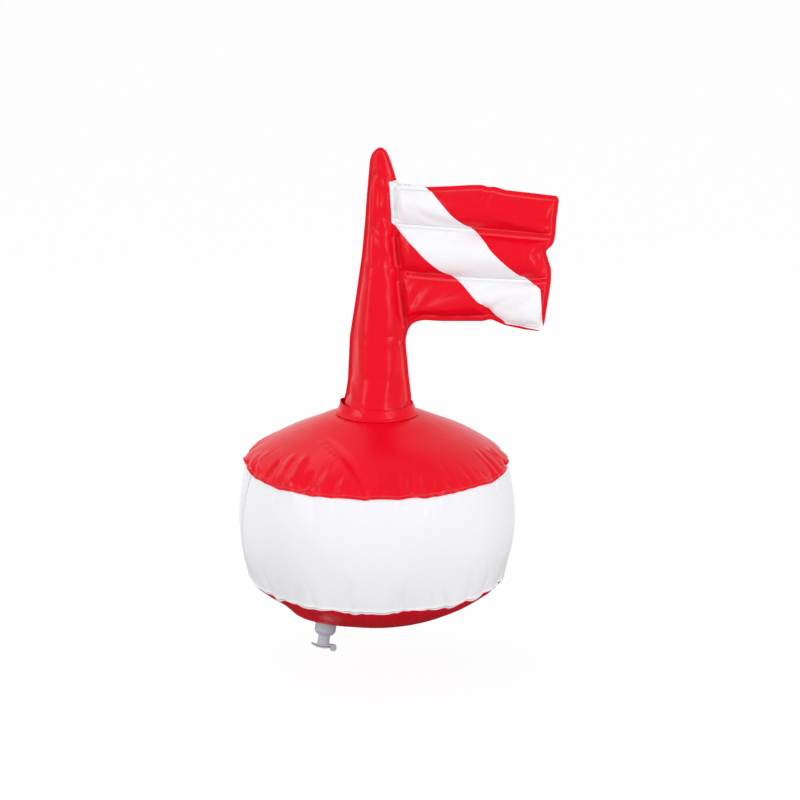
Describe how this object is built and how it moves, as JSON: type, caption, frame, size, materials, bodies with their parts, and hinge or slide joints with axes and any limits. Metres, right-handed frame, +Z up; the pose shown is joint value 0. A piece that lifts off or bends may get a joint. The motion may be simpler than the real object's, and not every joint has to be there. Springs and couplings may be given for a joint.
{
  "type": "dive flag float",
  "caption": "Inflatable round float with an inflated mast and a chambered diver-down flag, a push-in inflation valve and a folding line tab underneath.",
  "frame": {"origin": "middle of the lower seam's plane, on the upright axis, where the float rides in the water", "axes": "+Z up the mast, +X from the mast along the flag, -Y the front, the side the picture shows"},
  "size_m": [0.3517, 0.3, 0.5459],
  "materials": {
    "red_film": "glossy soft PVC film, red",
    "white_film": "glossy soft PVC film, cool white",
    "grey_plastic": "soft moulded PVC, light grey, satin",
    "nickel": "nickel-plated pressed metal"
  },
  "bodies": {
    "float": {"top_panel": "red_film", "side_band": "white_film", "bottom_panel": "red_film", "mast_foot_cuff": "red_film", "mast_flag_front_sheet": "red_film", "mast_flag_back_sheet": "red_film", "stripe_front": "white_film", "stripe_back": "white_film", "valve_base": "grey_plastic", "line_patch": "red_film"},
    "stem": {"valve_stem": "grey_plastic"},
    "plug": {"valve_plug": "grey_plastic"},
    "flap": {"valve_flap": "grey_plastic"},
    "tab": {"line_tab": "red_film", "line_eyelet": "nickel", "line_eyelet_washer": "nickel"}
  },
  "joints": [
    {"name": "stem_push", "type": "slide", "parent": "float", "child": "stem", "axis": [0.0982, 0.1535, 0.9833], "range_m": [0, 0.0095]},
    {"name": "plug_swing", "type": "hinge", "parent": "stem", "child": "plug", "pos_m": [-0.03013, -0.0608, -0.06624], "axis": [0.3069, -0.9445, 0.1168], "range_deg": [0, 160]},
    {"name": "flap_swing", "type": "hinge", "parent": "stem", "child": "flap", "pos_m": [-0.04348, -0.06037, -0.02765], "axis": [0.3069, -0.9445, 0.1168], "range_deg": [0, 60]},
    {"name": "line_tab_fold", "type": "hinge", "parent": "float", "child": "tab", "pos_m": [0, -0.006, -0.0516], "axis": [-1, 0, 0], "range_deg": [0, 90]}
  ]
}
